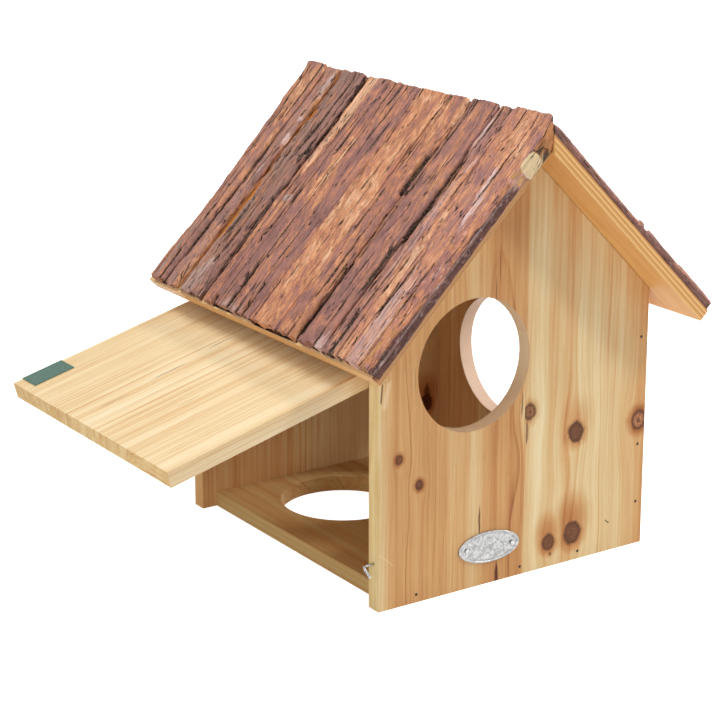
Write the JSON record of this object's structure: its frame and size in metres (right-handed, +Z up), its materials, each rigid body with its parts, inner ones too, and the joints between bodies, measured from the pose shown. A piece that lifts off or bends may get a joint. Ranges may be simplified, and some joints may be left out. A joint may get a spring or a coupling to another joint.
{
  "type": "squirrel feeder box",
  "caption": "Small gabled wooden box with round entrances, a hinged end flap held by a turn hook, and a plywood roof covered in slabs of bark.",
  "frame": {"origin": "on the ground under the middle of the box, on the floor panel's underside", "axes": "+X from the flap side to the back panel, +Y from the front gable with the plate to the rear gable, +Z up"},
  "size_m": [0.4217, 0.299, 0.3403],
  "materials": {
    "gable_planks": "planed softwood",
    "panel_planks": "planed softwood",
    "flap_planks": "planed softwood",
    "plywood": "sawn plywood",
    "bark": "rough bark",
    "zinc": "mottled zinc",
    "bright_steel": "zinc plated",
    "brad_steel": "plain steel",
    "label": "satin sticker"
  },
  "bodies": {
    "box": {"front_gable": "gable_planks", "rear_gable": "gable_planks", "back_panel": "panel_planks", "floor_panel": "panel_planks", "left_roof_board": "plywood", "right_roof_board": "plywood", "left_bark_1": "bark", "left_bark_2": "bark", "left_bark_3": "bark", "left_bark_4": "bark", "left_bark_5": "bark", "left_bark_6": "bark", "left_bark_7": "bark", "left_bark_8": "bark", "left_bark_9": "bark", "left_bark_10": "bark", "left_bark_11": "bark", "left_bark_12": "bark", "right_bark_1": "bark", "right_bark_2": "bark", "right_bark_3": "bark", "right_bark_4": "bark", "right_bark_5": "bark", "right_bark_6": "bark", "right_bark_7": "bark", "right_bark_8": "bark", "right_bark_9": "bark", "right_bark_10": "bark", "oval_plate": "zinc", "plate_nail_left": "bright_steel", "plate_nail_right": "bright_steel", "front_pivot_nail": "bright_steel", "rear_pivot_nail": "bright_steel", "front_floor_brad_1": "brad_steel", "front_floor_brad_2": "brad_steel", "front_floor_brad_3": "brad_steel", "front_back_brad_1": "brad_steel", "front_back_brad_2": "brad_steel", "front_back_brad_3": "brad_steel", "rear_floor_brad_1": "brad_steel", "rear_floor_brad_2": "brad_steel", "rear_floor_brad_3": "brad_steel", "rear_back_brad_1": "brad_steel", "rear_back_brad_2": "brad_steel", "rear_back_brad_3": "brad_steel", "back_floor_brad_1": "brad_steel", "back_floor_brad_2": "brad_steel", "left_roof_nail_front_1": "brad_steel", "left_roof_nail_front_2": "brad_steel", "left_roof_nail_rear_1": "brad_steel", "left_roof_nail_rear_2": "brad_steel", "right_roof_nail_front_1": "brad_steel", "right_roof_nail_front_2": "brad_steel", "right_roof_nail_rear_1": "brad_steel", "right_roof_nail_rear_2": "brad_steel"},
    "flap": {"door_panel": "flap_planks", "door_label": "label"},
    "turn_hook": {"turn_hook": "bright_steel"}
  },
  "joints": [
    {"name": "flap_hinge", "type": "hinge", "parent": "box", "child": "flap", "pos_m": [-0.1115, 0, 0.166], "axis": [0, 1, 0], "range_deg": [-75.3, 18.5]},
    {"name": "hook_turn", "type": "hinge", "parent": "box", "child": "turn_hook", "pos_m": [-0.1175, -0.119, 0.034], "axis": [1, 0, 0], "continuous": true}
  ]
}
